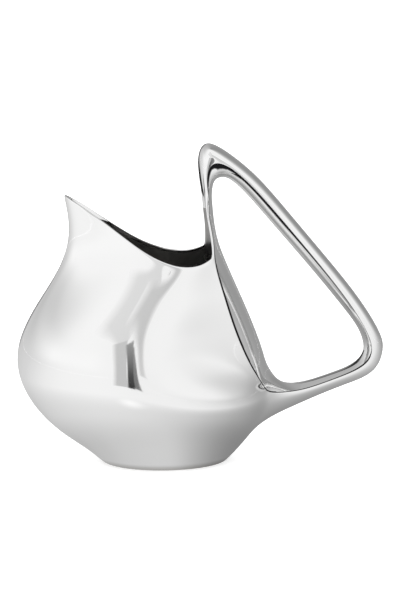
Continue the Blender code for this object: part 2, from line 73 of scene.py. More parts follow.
# The handle, from its root round to the strap: inner x, z, outer x, z, the crease's share of the way
# from inner to outer, its half-width, and how far the section has turned into the strap's.
LOOP = [(42.4, 25.9, 41.0, 16.5, 0.20, 5.6, 0), (48.7, 26.4, 50.0, 20.4, 0.23, 4.9, 0),
        (57.5, 29.1, 59.6, 24.2, 0.23, 4.7, 0), (64.2, 31.7, 66.4, 26.6, 0.22, 4.8, 0),
        (68.0, 35.4, 72.7, 30.4, 0.30, 5.0, 0), (68.3, 39.8, 75.2, 37.0, 0.35, 5.1, 0),
        (66.2, 45.0, 74.0, 43.2, 0.33, 5.1, 0), (61.4, 51.7, 66.7, 55.2, 0.42, 5.1, 0),
        (50.0, 65.8, 55.1, 69.9, 0.49, 5.1, 0), (37.6, 80.4, 43.0, 84.5, 0.51, 5.2, 0),
        (28.3, 91.3, 34.3, 94.8, 0.49, 5.4, 0), (23.6, 95.8, 27.4, 101.5, 0.50, 5.6, 0),
        (20.5, 97.4, 20.5, 106.8, 0.53, 5.8, 0), (17.6, 96.6, 14.5, 109.3, 0.50, 6.0, 0.05),
        (16.6, 94.0, 11.7, 104.9, 0.48, 6.0, 0.25), (16.4, 90.9, 12.0, 98.0, 0.48, 5.8, 0.55),
        (16.6, 88.0, 13.0, 92.5, 0.46, 5.6, 0.85)]
STATIONS_PER_ROW = 2
CHEEK_BULGE = 0.05
STRAP_HOLLOW = 1.3     # how deep the strap's front face is dished

FRONT_COLUMNS, FLANK_COLUMNS, BAND_COLUMNS = 9, 7, 4
CREASE_COLUMN = FRONT_COLUMNS + FLANK_COLUMNS
LAST_COLUMN = CREASE_COLUMN + BAND_COLUMNS
RIM_STEPS = 3
LOW_ROWS = [0.7, 2.6, 5.4, 8.4, 11.5, 16.0, 20.5, 25.0, 29.5, 34.0, 39.0, 44.0]
ROOT_BOTTOM, ROOT_TOP = 4, 7      # rows that the handle's root spans
UPPER_ROWS = 6
STRAP_ROWS = [75.6, 79.2, 82.6, 86.0]
RIM_ROW = len(LOW_ROWS) + UPPER_ROWS - 1
STRAP_TOP = RIM_ROW + len(STRAP_ROWS)
# Height of a row at the crease, then how much higher it runs at the middle of the back band.
LIFT = [(8.4, 0), (11.5, -0.7), (16, 1.0), (20.5, 4.0), (25, 8.5), (34, 5.5), (44, 2.5), (60, 0)]
FOOT_FLAT, FOOT_OPENING = 0.955, 0.80       # shares of the foot's outline
FLANGE = 0.9
FLARE_RINGS = 3        # from the body to the handle's first station
ROOT_BEND = 0.55       # how far back towards the body the handle runs straight before it flares
SEAM_ROW = 15          # of LOOP, where the handle's sheets meet the strap
SMOOTHNESS = 3         # levels of subdivision
CREASE_SHARPNESS = 0.6
FAR_FROM_CREASE = 3.0  # in widths of the painted dark reflection line
LINE_STEP = 0.1        # of a row of LOOP
PIECES = OUTSIDE, INSIDE, STRIP, BAND, CHEEK = range(5)
CAMERA_AZIMUTH, CAMERA_ELEVATION = radians(-6), radians(11)
CAMERA_DISTANCE = 1.3
CAMERA_TARGET = (12.35, 0, 52.95)      # in millimetres from the centre of the foot
CAMERA_LENS = 224.8
JUG_MIDDLE = Vector((-0.012, 0, 0.04))
# A place along LOOP, then how wide the painted dark reflection line beside the crease is there.
HANDLE_LINE = [(0, 0.35), (2, 0.5), (3.4, 0.75), (4.3, 0.6), (5, 0.15), (6.8, 0.15), (8, 0.6), (9, 1.0),
               (10.3, 1.0), (11, 0.8), (11.7, 1.2), (12.5, 2.6), (13, 2.0), (13.6, 1.1), (14.5, 0.8),
               (15.5, 0.3)]
BODY_LINE = [(30, 0.5), (42, 1.0), (62, 1.1), (72, 0.7), (80, 0.4)]     # height, then the same on the body
LINE_EDGE = (0.7, 1.15)        # where the painted dark reflection line fades out, in its own widths
FLOOR_GLOW = 0.55
LOW_TOP, HIGH_BOTTOM, HIGH_TOP = 15, 17, 38     # degrees up, where the room's shades change
SILVER, BLOOM = (0.93, 0.93, 0.928, 1), (0.905, 0.903, 0.898, 1)
# A painted dark reflection beside the crease, and painted shade on the foot's bottom edge.
CREASE_PAINTED_REFLECTION, FOOT_PAINTED_SHADE = (0.012, 0.012, 0.013, 1), (0.42, 0.41, 0.39, 1)
# The inside's colour, set darker than the silver as painted shade, and a darker tone for its random clouds.
LINING, LINING_DARK = (0.60, 0.595, 0.585, 1), (0.45, 0.445, 0.435, 1)
PLATE, PLATE_DARK = (0.78, 0.775, 0.76, 1), (0.66, 0.65, 0.63, 1)
SILVER_ROUGHNESS, LINING_ROUGHNESS, PLATE_ROUGHNESS = (0.035, 0.085), (0.24, 0.36), (0.26, 0.42)
# How high the painted shade on the foot's bottom edge reaches, and how far it darkens the silver.
FOOT_SHADE_HEIGHTS, FOOT_SHADE_SHARE = (0.0004, 0.0030), 0.75
BLOOM_SHARE = 0.35
SCRATCH_DEPTH = 0.0001
SWIRL_SCALE, SCRATCH_SCALE = 60, 900            # of noises, to the metre
LINING_CLOUD_SCALE, LINING_SCRATCH_SCALE = 45, 1500
PLATE_WEAR_SCALE = 120
TURNED_LINE_SCALE, TURNED_LINE_WANDER = 900, 0.6
FLOOR_RADIUS, TABLE_RADIUS, TABLE_LIFT = 4, 3.5, 0.0002
LAMP_PLACE, LAMP_SIZE, LAMP_POWER = (-0.3, -0.3, 1.2), 1.2, 5.0
# Azimuth, 0 towards the camera's side and 90 towards +X, then how bright the silver sees each level of its
# surroundings: the room, the room higher up, the room low down with the far table, the table, and the table
# by the foot. The room and what is above it share their darker side.
DARK_SIDE = [(42, 0.96), (60, 0.95), (68, 0.86), (76, 0.72), (88, 0.58), (104, 0.36), (130, 0.27),
             (155, 0.31), (180, 0.44)]
ROOM_SHADES = [(-180, 0.44), (-150, 0.54), (-135, 0.61), (-120, 0.72), (-105, 0.85), (-90, 0.96),
               (-72, 1.05), (-45, 1.05), (-25, 0.97), (10, 0.93)] + DARK_SIDE
HIGH_SHADES = [(-180, 0.44), (-150, 0.48), (-124, 0.57), (-110, 0.65), (-98, 0.74), (-86, 0.84),
               (-74, 0.93), (-58, 0.99), (-25, 0.97), (10, 0.93)] + DARK_SIDE
LOW_SHADES = [(-180, 0.50), (-155, 0.63), (-120, 0.72), (-103, 0.80), (-86, 0.90), (-64, 0.96), (-30, 0.97),
              (0, 0.94), (30, 0.93), (46, 0.87), (58, 0.79), (70, 0.67), (90, 0.52), (120, 0.34),
              (150, 0.32), (180, 0.50)]
TABLE_SHADES = [(-180, 0.43), (-120, 0.58), (-82, 0.72), (-46, 0.78), (-20, 0.78), (0, 0.74), (23, 0.64),
                (36, 0.57), (48, 0.50), (62, 0.43), (84, 0.34), (112, 0.28), (150, 0.32), (180, 0.43)]
FOOT_SHADES = [(-180, 0.40), (-90, 0.52), (-62, 0.57), (-46, 0.62), (-20, 0.66), (0, 0.66), (12, 0.60),
               (24, 0.50), (36, 0.42), (50, 0.33), (70, 0.26), (100, 0.24), (140, 0.29), (180, 0.40)]
# Shades over those before them, then where they begin to show and where they are all that shows. The table's
# are in metres from its middle, and the room's are sines of an elevation.
TABLE_ZONES = [(TABLE_SHADES, 0.115, 0.048), (FOOT_SHADES, 0.056, 0.028)]
ROOM_ZONES = [(ROOM_SHADES, 0, sin(radians(LOW_TOP))),
              (HIGH_SHADES, sin(radians(HIGH_BOTTOM)), sin(radians(HIGH_TOP)))]
POOL_PLACE, POOL_RADIUS = (-0.015, -0.084, 0.0), 0.021      # a soft light on the table
POOL_SHADE, POOL_SHARE = 1.08, 0.8


def spline(table, at):
    """The natural cubic spline through a table's rows, read at one value of its first column."""
    at_rows = np.array([row[0] for row in table], float)
    values = np.array([row[1:] for row in table], float)
    count, steps = len(at_rows), np.diff(at_rows)
    matrix, right = np.zeros((count, count)), np.zeros_like(values)
    matrix[0, 0] = matrix[-1, -1] = 1
    for i in range(1, count - 1):
        matrix[i, i - 1 : i + 2] = steps[i - 1], 2 * (steps[i - 1] + steps[i]), steps[i]
        slopes = (values[i + 1] - values[i]) / steps[i], (values[i] - values[i - 1]) / steps[i - 1]
        right[i] = 6 * (slopes[0] - slopes[1])
    bends = np.linalg.solve(matrix, right)
    at = min(max(at, at_rows[0]), at_rows[-1])
    i = int(np.clip(np.searchsorted(at_rows, at) - 1, 0, count - 2))
    step = steps[i]
    a, b = (at_rows[i + 1] - at) / step, (at - at_rows[i]) / step
    found = a * values[i] + b * values[i + 1]
    found = found + ((a**3 - a) * bends[i] + (b**3 - b) * bends[i + 1]) * step * step / 6
    return found if len(found) > 1 else float(found[0])


def eased(table, at):
    """A value that eases from one row of a table to the next, and stays within them."""
    if at <= table[0][0]:
        return table[0][1]
    for (low, before), (high, after) in zip(table, table[1:]):
        if at < high:
            share = (at - low) / (high - low)
            return before + (after - before) * share * share * (3 - 2 * share)
    return table[-1][1]


def crease(z):
    """x and half-width of the crease, and below it of the smooth column that carries on to the foot."""
    lowest = CREASE[0]
    if z >= lowest[0]:
        return spline(CREASE, z)
    share = (lowest[0] - z) / lowest[0]
    half_width = lowest[2] + (CREASE_FOOT_HALF_WIDTH - lowest[2]) * share

    def on_oval(height, w):
        middle = spline(WIDEST, height)
        return middle + (spline(BACK, height) - middle) * sqrt(1 - (w / spline(WIDE, height)) ** 2)

    miss = lowest[1] - on_oval(lowest[0], lowest[2])
    return np.array([on_oval(z, half_width) + miss * max(0, 1 - 2.5 * share) ** 2, half_width])


def front_point(z, share):
    """From the middle of the front, round to the widest place: an oval, pinched to a spout higher up."""
    middle, wide = spline(WIDEST, z), spline(WIDE, z)
    length = middle - spline(FRONT, z)
    x = middle - length * cos(share * pi / 2)
    oval = wide * sin(share * pi / 2)
    along = x - spline(FRONT, z)
    nose = SPOUT_HALF_WIDTH * sqrt(max(0, 1 - (1 - min(along / SPOUT_NOSE, 1)) ** 2))
    t = min(along / length, 1)
    channel = nose + (wide - SPOUT_HALF_WIDTH) * t**3 * (10 - 15 * t + 6 * t * t)
    pinch = eased(PINCH, z)
    return np.array([x, (1 - pinch) * oval + pinch * channel])


def bezier_width(points, x):
    """Half-width at x on a flat cubic curve whose x only rises."""
    low, high = 0.0, 1.0
    for _ in range(40):
        t = (low + high) / 2
        weights = np.array([(1 - t) ** 3, 3 * t * (1 - t) ** 2, 3 * t * t * (1 - t), t**3])
        at = weights @ points
        low, high = (t, high) if at[0] < x else (low, t)
    return at[1]


def flank_point(z, share):
    """From the widest place back to the crease, which the flank meets at the angle of TURN."""
    middle, wide = spline(WIDEST, z), spline(WIDE, z)
    crease_x, crease_w = crease(z)
    band_angle = 2 * atan2(spline(BACK, z) - crease_x, crease_w)
    slope = pi / 2 - band_angle - radians(eased(TURN, z))
    most = asin(crease_w / wide)
    x = middle + (crease_x - middle) * sin(share * radians(68)) / sin(radians(68))
    half_length = (crease_x - middle) / cos(most)
    oval = wide * sqrt(1 - ((x - middle) / half_length) ** 2)
    drop = wide - crease_w
    meet = crease_x - drop / np.tan(slope)
    front_curvature = wide / (middle - spline(FRONT, z)) ** 2
    reach = min(sqrt(0.28 * drop / front_curvature), 0.93 * max(meet - middle, 0.3 * (crease_x - middle)))
    back_reach = 0.58 * drop / sin(slope)
    curve = np.array([(middle, wide), (middle + reach, wide),
                      (crease_x - back_reach * cos(slope), crease_w + back_reach * sin(slope)),
                      (crease_x, crease_w)])
    creased = eased([(19, 0), (36, 1)], z)
    return np.array([x, creased * bezier_width(curve, x) + (1 - creased) * oval])


def band_point(z, share):
    """From the crease to the middle of the back, on an arc."""
    back = spline(BACK, z)
    crease_x, crease_w = crease(z)
    angle = 2 * atan2(back - crease_x, crease_w)
    radius = crease_w / sin(angle)
    angle *= 1 - share
    return np.array([back - radius * (1 - cos(angle)), radius * sin(angle)])


def section(z, column):
    """x and half-width of one column of points at a height."""
    if column <= FRONT_COLUMNS:
        return front_point(z, column / FRONT_COLUMNS)
    if column <= CREASE_COLUMN:
        return flank_point(z, (column - FRONT_COLUMNS) / FLANK_COLUMNS)
    return band_point(z, (column - CREASE_COLUMN) / BAND_COLUMNS)


def rim_height(column):
    low, high = 40.0, 96.0
    for _ in range(40):
        z = (low + high) / 2
        low, high = (low, z) if z > spline(RIM, section(z, column)[0]) else (z, high)
    return low


def unit(vector):
    return vector / np.linalg.norm(vector)


def beside(grid, column, row, step):
    """The next point along a row, on the other side of y = 0 past the first and last columns."""
    if 0 <= column + step <= LAST_COLUMN:
        return grid.get((column + step, row), grid[column, row])
    return grid[column - step, row] * np.array([1, -1, 1])


def outward_normal(point, across, up):
    normal = unit(np.cross(across, up))
    return normal if normal @ (point - np.array([-5, 0, point[2]])) > 0 else -normal


def outer_grid():
    """The body's outer points as {(column, row): point}. Rows -2 and -1 are the foot's flat ring."""
    grid = {}
    crease_top = rim_height(CREASE_COLUMN)
    for column in range(LAST_COLUMN + 1):
        in_band = max(0, column - CREASE_COLUMN) / BAND_COLUMNS
        top = rim_height(column) if column <= CREASE_COLUMN else crease_top
        heights = list(LOW_ROWS)
        for i in range(1, UPPER_ROWS + 1):
            heights.append(LOW_ROWS[-1] + (top - LOW_ROWS[-1]) * i / UPPER_ROWS)
        if column >= CREASE_COLUMN:
            heights += STRAP_ROWS
        for row, z in enumerate(heights):
            if in_band:
                lift = float(np.interp(z, [a for a, _ in LIFT], [b for _, b in LIFT]))
                z = z + lift * (1 - (1 - in_band) ** 2)
            x, w = section(z, column)
            grid[column, row] = np.array([x, w if column not in (0, LAST_COLUMN) else 0.0, z])
        foot = grid[column, 0]
        for row, share in ((-1, FOOT_FLAT), (-2, FOOT_OPENING)):
            grid[column, row] = np.array([foot[0] * share, foot[1] * share, 0.0])
    return grid


def inner_grid(outer):
    """The body's inner points, a sheet's thickness inside the outer ones."""
    inner = {}
    for (column, row), point in outer.items():
        if row < 0:
            share = FOOT_OPENING if row == -2 else 0.92
            foot = outer[column, 0]
            inner[column, row] = np.array([foot[0] * share, foot[1] * share, FLANGE])
            continue
        up = outer.get((column, row + 1), point) - outer[column, max(row - 1, 0)]
        across = beside(outer, column, row, 1) - beside(outer, column, row, -1)
        moved = point - outward_normal(point, across, up) * GAUGE
        if column in (0, LAST_COLUMN):
            moved[1] = 0.0
        inner[column, row] = moved
    return inner


def rim_points(outer, inner):
    """Two points that round the rim off at each place on it, from the spout's tip up the strap's edge."""
    path = [(column, RIM_ROW) for column in range(CREASE_COLUMN + 1)]
    path += [(CREASE_COLUMN, row) for row in range(RIM_ROW + 1, STRAP_TOP + 1)]
    found = {}
    for column, row in path:
        out, into = outer[column, row], inner[column, row]
        away = np.zeros(3)
        if row == RIM_ROW:
            away = away + unit(out - outer[column, row - 1])
        if column == CREASE_COLUMN:
            away = away + unit(out - outer[column + 1, row])
        away = unit(away) * 0.3
        found[column, row] = [out * 0.75 + into * 0.25 + away, out * 0.25 + into * 0.75 + away]
        if column == 0:
            for point in found[column, row]:
                point[1] = 0.0
    return path, found


def handle_section(station):
    """Half of the handle's section at one place along LOOP: the band from its middle, then the cheek."""
    table = [(i, *row) for i, row in enumerate(LOOP)]
    in_x, in_z, out_x, out_z, share, half_width, strap = spline(table, station)
    strap = min(max(strap, 0), 1)
    inner, outer = np.array([in_x, in_z]), np.array([out_x, out_z])
    depth = np.linalg.norm(outer - inner)
    outward = (outer - inner) / depth
    crease_depth = depth * share

    def place(along, w):
        return np.array([in_x + outward[0] * along, w, in_z + outward[1] * along])

    points = []
    angle = 2 * atan2(crease_depth, half_width)
    radius = half_width / sin(angle)
    for i in range(BAND_COLUMNS + 1):
        turn = angle * i / BAND_COLUMNS
        points.append(place(radius * (1 - cos(turn)), radius * sin(turn)))
    steps = RIM_STEPS + BAND_COLUMNS
    cheek_depth = depth - crease_depth
    front_width = half_width * (0.4 + 0.5 * strap)
    for i in range(1, steps + 1):
        turn = pi / 2 * i / steps
        round_w = half_width * cos(turn) * (1 + CHEEK_BULGE * sin(2 * turn))
        rounded = np.array([crease_depth + cheek_depth * sin(turn), round_w])
        if i <= RIM_STEPS:
            side = i / RIM_STEPS
            edge_w = front_width + (half_width - front_width) * sqrt(1 - side * side)
            edged = np.array([crease_depth + cheek_depth * side, edge_w])
        else:
            w = front_width * (1 - (i - RIM_STEPS) / BAND_COLUMNS)
            dish = STRAP_HOLLOW * strap * (1 - (w / front_width) ** 2)
            edged = np.array([depth - dish, w])
        along, w = (1 - strap) * rounded + strap * edged
        points.append(place(along, w))
    points[-1][1] = 0.0
    return points


def root_points(outer):
    """The body's points that the handle's root stands on, in the order of handle_section."""
    points = [outer[column, ROOT_TOP] for column in range(LAST_COLUMN, CREASE_COLUMN - 1, -1)]
    points += [outer[CREASE_COLUMN, row] for row in range(ROOT_TOP - 1, ROOT_BOTTOM - 1, -1)]
    points += [outer[column, ROOT_BOTTOM] for column in range(CREASE_COLUMN + 1, LAST_COLUMN + 1)]
    return points


def strap_points(outer, inner, rim):
    points = [outer[column, STRAP_TOP] for column in range(LAST_COLUMN, CREASE_COLUMN - 1, -1)]
    points += rim[CREASE_COLUMN, STRAP_TOP]
    points += [inner[column, STRAP_TOP] for column in range(CREASE_COLUMN, LAST_COLUMN + 1)]
    return points


def flare_rings(outer):
    """Half outlines of the handle's root: they leave the body and run into the first station on a curve."""
    start, end = root_points(outer), handle_section(0)
    ahead = handle_section(0.5)
    rings = []
    for i in range(FLARE_RINGS):
        t = i / FLARE_RINGS
        ring = []
        for low, high, next_one in zip(start, end, ahead):
            slope = (next_one - high) / (next_one[0] - high[0])
            bend = high - slope * (high[0] - low[0]) * ROOT_BEND
            ring.append((1 - t) ** 2 * low + 2 * t * (1 - t) * bend + t * t * high)
        rings.append(ring)
    return rings


class Skin:
    """One half of the jug's surface, with each face's piece and the sharpness of its creases."""

    def __init__(self):
        self.points, self.index, self.faces, self.pieces, self.creases = [], {}, [], [], {}

    def add(self, point):
        key = tuple(np.round(point, 5))
        if key not in self.index:
            self.index[key] = len(self.points)
            self.points.append(key)
        return self.index[key]

    def face(self, piece, *corners):
        found = []
        for corner in corners:
            at = self.add(corner)
            if at not in found:
                found.append(at)
        if len(found) > 2:
            self.faces.append(found)
            self.pieces.append(piece)

    def strip(self, piece, first, second):
        for i in range(len(first) - 1):
            self.face(piece, first[i], first[i + 1], second[i + 1], second[i])

    def crease(self, line, sharpness):
        for first, second in zip(line, line[1:]):
            self.creases[frozenset((self.add(first), self.add(second)))] = sharpness

    def object(self, name):
        mesh = bpy.data.meshes.new(name)
        mesh.from_pydata([[c * MM for c in p] for p in self.points], [], self.faces)
        for polygon, piece in zip(mesh.polygons, self.pieces):
            polygon.material_index = piece
        work = bmesh.new()
        work.from_mesh(mesh)
        layer = work.edges.layers.float.new("crease_edge")
        for edge in work.edges:
            edge[layer] = self.creases.get(frozenset(v.index for v in edge.verts), 0)
            edge.smooth = not edge[layer]
        bmesh.ops.recalc_face_normals(work, faces=work.faces)
        lowest = min(work.faces, key=lambda face: face.calc_center_median().z)
        if lowest.normal.z > 0:
            bmesh.ops.reverse_faces(work, faces=work.faces)
        work.to_mesh(mesh)
        work.free()
        mesh.shade_smooth()
        thing = bpy.data.objects.new(name, mesh)
        bpy.context.scene.collection.objects.link(thing)
        return thing


def middle_of_length(outer):
    spout_side = min(point[0] for point in outer.values())
    stations = [i / STATIONS_PER_ROW for i in range(SEAM_ROW * STATIONS_PER_ROW + 1)]
    handle_side = max(handle_section(station)[-1][0] for station in stations)
    return (spout_side + handle_side) / 2


def jug_skin(outer, inner):
    skin = Skin()
    for grid, piece in ((outer, OUTSIDE), (inner, INSIDE)):
        for column in range(LAST_COLUMN):
            top = STRAP_TOP if column >= CREASE_COLUMN else RIM_ROW
            for row in range(-2, top):
                under_handle = column >= CREASE_COLUMN and ROOT_BOTTOM <= row < ROOT_TOP
                if grid is outer and under_handle:
                    continue
                corners = [(column, row), (column + 1, row), (column + 1, row + 1), (column, row + 1)]
                on_strip = grid is outer and column >= CREASE_COLUMN and row >= ROOT_TOP
                skin.face(STRIP if on_strip else piece, *(grid[at] for at in corners))
    for column in range(LAST_COLUMN):
        at, beside_it = (column, -2), (column + 1, -2)
        skin.face(OUTSIDE, outer[at], outer[beside_it], inner[beside_it], inner[at])
    path, rounded = rim_points(outer, inner)
    across = [[outer[at], *rounded[at], inner[at]] for at in path]
    for first, second in zip(across, across[1:]):
        skin.strip(OUTSIDE, first, second)
    rings = flare_rings(outer)
    rings += [handle_section(i / STATIONS_PER_ROW) for i in range((len(LOOP) - 1) * STATIONS_PER_ROW + 1)]
    rings.append(strap_points(outer, inner, rounded))
    seam = FLARE_RINGS + SEAM_ROW * STATIONS_PER_ROW
    for i, (first, second) in enumerate(zip(rings, rings[1:])):
        band, cheek = (BAND, CHEEK) if i < seam else (STRIP, OUTSIDE)
        skin.strip(band, first[: BAND_COLUMNS + 1], second[: BAND_COLUMNS + 1])
        skin.strip(cheek, first[BAND_COLUMNS:], second[BAND_COLUMNS:])
    skin.crease([ring[BAND_COLUMNS] for ring in rings], CREASE_SHARPNESS)
    skin.crease([outer[CREASE_COLUMN, row] for row in range(ROOT_TOP, STRAP_TOP + 1)], CREASE_SHARPNESS)
    return skin


def crease_lines(outer):
    """Points along the crease, in millimetres, each with the width of the painted dark reflection line beside
    it there.
    """
    found = []
    for station in np.arange(0, len(LOOP) - 1 + LINE_STEP, LINE_STEP):
        found.append((handle_section(station)[BAND_COLUMNS], float(np.interp(station, *zip(*HANDLE_LINE)))))
    for row in range(ROOT_TOP, STRAP_TOP + 1):
        point = outer[CREASE_COLUMN, row]
        found.append((point, float(np.interp(point[2], *zip(*BODY_LINE)))))
    return found


def from_crease(whole, outer):
    """How far each vertex lies from the crease, in widths of the painted dark reflection line."""
    lines = crease_lines(outer)
    widths = KDTree(len(lines))
    for i, (point, _) in enumerate(lines):
        widths.insert(Vector(point) * MM, i)
    widths.balance()
    sharp = sorted({i for edge in whole.edges if edge.use_edge_sharp for i in edge.vertices})
    crease_points = KDTree(len(sharp))
    for i in sharp:
        crease_points.insert(whole.vertices[i].co, i)
    crease_points.balance()
    found = []
    for vertex in whole.vertices:
        nearest, _, away = crease_points.find(vertex.co)
        _, line, _ = widths.find((nearest.x, abs(nearest.y), nearest.z))
        found.append(min(away / (lines[line][1] * MM), FAR_FROM_CREASE))
    return found


def smooth_skin(outer, inner):
    """The whole jug as one fine mesh: points, their normals, how far they lie from the crease, and the faces.

    Each face has its corners, its piece and its corner normals.
    """
    half = jug_skin(outer, inner).object("jug_skin")
    for _ in PIECES:
        half.data.materials.append(None)
    mirror = half.modifiers.new("other_side", "MIRROR")
    mirror.use_axis = (False, True, False)
    mirror.merge_threshold = 0.00001
    smooth = half.modifiers.new("smooth", "SUBSURF")
    smooth.levels = smooth.render_levels = SMOOTHNESS
    whole = half.evaluated_get(bpy.context.evaluated_depsgraph_get()).to_mesh()
    shift = np.array([middle_of_length(outer) * MM, 0, 0])
    points = np.array([v.co for v in whole.vertices]) - shift
    normals = np.array([v.vector for v in whole.vertex_normals])
    turned = [tuple(n.vector) for n in whole.corner_normals]
    faces = [(tuple(p.vertices), p.material_index, [turned[i] for i in p.loop_indices])
             for p in whole.polygons]
    line = from_crease(whole, outer)
    bpy.data.objects.remove(half)
    return points, normals, line, faces


def cut_out(name, skin, wanted, materials, gauge=0.0):
    """A closed piece made of some of the skin's faces. With a gauge it is a sheet of that thickness."""
    points, normals, line, faces = skin
    chosen = [face for face in faces if wanted(face[0], face[1], points)]
    used = sorted({corner for corners, _, _ in chosen for corner in corners})
    order = {corner: i for i, corner in enumerate(used)}
    work = bmesh.new()
    front = [work.verts.new(points[corner]) for corner in used]
    for corners, piece, _ in chosen:
        face = work.faces.new([front[order[corner]] for corner in corners])
        face.material_index = 1 if piece == INSIDE else 0
    turned = [normal for _, _, corner_normals in chosen for normal in corner_normals]
    beside_crease = [line[corner] if piece in (STRIP, BAND) else FAR_FROM_CREASE
                     for corners, piece, _ in chosen for corner in corners]
    if gauge:
        back = [work.verts.new(points[corner] - normals[corner] * gauge) for corner in used]
        work.verts.index_update()
        border = [loop for face in work.faces for loop in face.loops if loop.edge.is_boundary]
        walls = [(loop.vert.index, loop.link_loop_next.vert.index) for loop in border]
        for corners, _, _ in chosen:
            work.faces.new([back[order[corner]] for corner in reversed(corners)])
        for first, second in walls:
            work.faces.new([front[second], front[first], back[first], back[second]])
    else:
        bmesh.ops.holes_fill(work, edges=[edge for edge in work.edges if edge.is_boundary], sides=0)
    for face in work.faces:
        face.smooth = True
    mesh = bpy.data.meshes.new(name)
    work.to_mesh(mesh)
    work.free()
    turned += [(0, 0, 0)] * (len(mesh.loops) - len(turned))     # these are worked out from the faces
    mesh.normals_split_custom_set(turned)
    beside_crease += [FAR_FROM_CREASE] * (len(mesh.loops) - len(beside_crease))
    layer = mesh.attributes.new("from_crease", "FLOAT", "CORNER")
    layer.data.foreach_set("value", beside_crease)
    for material in materials:
        mesh.materials.append(material)
    thing = bpy.data.objects.new(name, mesh)
    bpy.context.scene.collection.objects.link(thing)
    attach(thing, "root")
    return thing


def make_jug(silver, lining):
    outer = outer_grid()
    skin = smooth_skin(outer, inner_grid(outer))
    body = cut_out("body", skin, lambda c, piece, p: piece not in (BAND, CHEEK),
                   [silver, lining])
    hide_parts("body_shell")
    band = cut_out("handle_band", skin, lambda c, piece, p: piece == BAND,
                   [silver], HANDLE_GAUGE * MM)
    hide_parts("handle_inner_band")
    for side, word in ((-1, "left"), (1, "right")):
        cheek = cut_out(f"{word}_cheek", skin,
                        lambda c, piece, p, side=side: piece == CHEEK and sum(p[i][1] for i in c) * side > 0,
                        [silver], HANDLE_GAUGE * MM)
        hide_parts(f"handle_{word}_cheek")


def principled(name, color, roughness):
    material = bpy.data.materials.new(name)
    material.use_nodes = True
    shader = material.node_tree.nodes["Principled BSDF"]
    shader.inputs["Base Color"].default_value = color
    shader.inputs["Metallic"].default_value = 1
    shader.inputs["Roughness"].default_value = roughness
    return material


def noise(nodes, links, scale, stretch=(1, 1, 1), detail=3):
    """A noise fixed to the object, so many to the metre, drawn out along an axis where stretch is under 1."""
    place, mapping = nodes.new("ShaderNodeTexCoord"), nodes.new("ShaderNodeMapping")
    texture = nodes.new("ShaderNodeTexNoise")
    mapping.inputs["Scale"].default_value = stretch
    texture.inputs["Scale"].default_value = scale
    texture.inputs["Detail"].default_value = detail
    links.new(place.outputs["Object"], mapping.inputs["Vector"])
    links.new(mapping.outputs["Vector"], texture.inputs["Vector"])
    return texture.outputs["Fac"]


def ranged(nodes, links, value, low, high, to_low, to_high):
    """A value carried smoothly from one range to another, and held at its ends."""
    found = nodes.new("ShaderNodeMapRange")
    found.interpolation_type = "SMOOTHSTEP"
    for name, number in zip(("From Min", "From Max", "To Min", "To Max"), (low, high, to_low, to_high)):
        found.inputs[name].default_value = number
    links.new(value, found.inputs["Value"])
    return found.outputs["Result"]


def mixed(nodes, links, share, first, second):
    """A colour between two, which are colours or the outputs of nodes."""
    mix = nodes.new("ShaderNodeMix")
    mix.data_type = "RGBA"
    links.new(share, mix.inputs["Factor"])
    for socket, color in ((mix.inputs[6], first), (mix.inputs[7], second)):
        if isinstance(color, tuple):
            socket.default_value = color
        else:
            links.new(color, socket)
    return mix.outputs[2]


def scratched(nodes, links, shader, height, strength):
    """Hair-thin marks in the metal."""
    bump = nodes.new("ShaderNodeBump")
    bump.inputs["Strength"].default_value = strength
    bump.inputs["Distance"].default_value = SCRATCH_DEPTH
    links.new(height, bump.inputs["Height"])
    links.new(bump.outputs["Normal"], shader.inputs["Normal"])


def make_silver():
    """Hand-polished silver: fine swirls in its gloss, painted shade on the foot's bottom edge, and a painted
    dark reflection line beside the crease.
    """
    material = principled("polished_silver", SILVER, 0.05)
    nodes, links = material.node_tree.nodes, material.node_tree.links
    shader = nodes["Principled BSDF"]
    broad = noise(nodes, links, SWIRL_SCALE)
    fine = noise(nodes, links, SCRATCH_SCALE, (1, 1, 0.15), 5)
    links.new(ranged(nodes, links, broad, 0.35, 0.7, *SILVER_ROUGHNESS), shader.inputs["Roughness"])
    scratched(nodes, links, shader, fine, 0.012)
    place, split = nodes.new("ShaderNodeTexCoord"), nodes.new("ShaderNodeSeparateXYZ")
    links.new(place.outputs["Object"], split.inputs[0])
    # Painted shade on the foot's bottom edge, where it meets the floor.
    foot = ranged(nodes, links, split.outputs["Z"], *FOOT_SHADE_HEIGHTS, FOOT_SHADE_SHARE, 0)
    bloom = ranged(nodes, links, broad, 0.5, 0.8, 0, BLOOM_SHARE)
    color = mixed(nodes, links, bloom, SILVER, BLOOM)
    color = mixed(nodes, links, foot, color, FOOT_PAINTED_SHADE)
    # A painted dark reflection line beside the crease, on the strap and the handle's band.
    line = nodes.new("ShaderNodeAttribute")
    line.attribute_name = "from_crease"
    dark = ranged(nodes, links, line.outputs["Fac"], *LINE_EDGE, 1, 0)
    color = mixed(nodes, links, dark, color, CREASE_PAINTED_REFLECTION)
    links.new(color, shader.inputs["Base Color"])
    return material


def make_lining():
    """The inside: satin, with its colour darker than the silver's as painted shade inside the jug."""
    material = principled("satin_lining", LINING, 0.3)
    nodes, links = material.node_tree.nodes, material.node_tree.links
    shader = nodes["Principled BSDF"]
    cloudy = noise(nodes, links, LINING_CLOUD_SCALE)
    links.new(ranged(nodes, links, cloudy, 0.3, 0.7, *LINING_ROUGHNESS), shader.inputs["Roughness"])
    links.new(mixed(nodes, links, ranged(nodes, links, cloudy, 0.3, 0.7, 0, 1), LINING, LINING_DARK),
              shader.inputs["Base Color"])
    scratched(nodes, links, shader, noise(nodes, links, LINING_SCRATCH_SCALE, (1, 1, 0.1), 4), 0.05)
    return material


